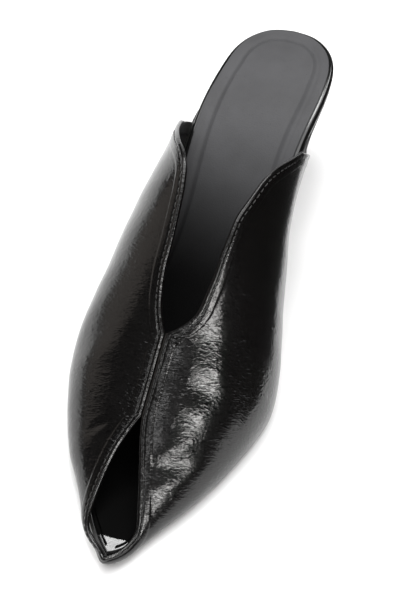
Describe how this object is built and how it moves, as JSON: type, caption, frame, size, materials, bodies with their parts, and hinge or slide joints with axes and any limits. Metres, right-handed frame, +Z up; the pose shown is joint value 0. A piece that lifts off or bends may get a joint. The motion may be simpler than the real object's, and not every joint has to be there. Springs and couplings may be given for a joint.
{
  "type": "mule shoe",
  "caption": "Pointed leather mule with a deep V throat, an open toe slit, a padded sock and a flared spool heel; the left shoe.",
  "frame": {"origin": "middle of the shoe's bounding box on the floor it stands on", "axes": "-Y towards the toe, +Y towards the heel, +Z up, -X the inner (medial) side of the foot"},
  "size_m": [0.0872, 0.246, 0.0949],
  "materials": {
    "upper_leather": "crinkled glossy leather",
    "sock_leather": "matte fine-grained leather",
    "wrap_leather": "glossy",
    "outsole_leather": "satin, buffed underneath",
    "heel_lacquer": "lacquered",
    "top_piece_rubber": "matte"
  },
  "bodies": {
    "root": {"upper": "upper_leather", "sock": "sock_leather", "insole_board": "wrap_leather", "outsole": "outsole_leather", "heel": "heel_lacquer", "top_piece": "top_piece_rubber"}
  },
  "joints": []
}
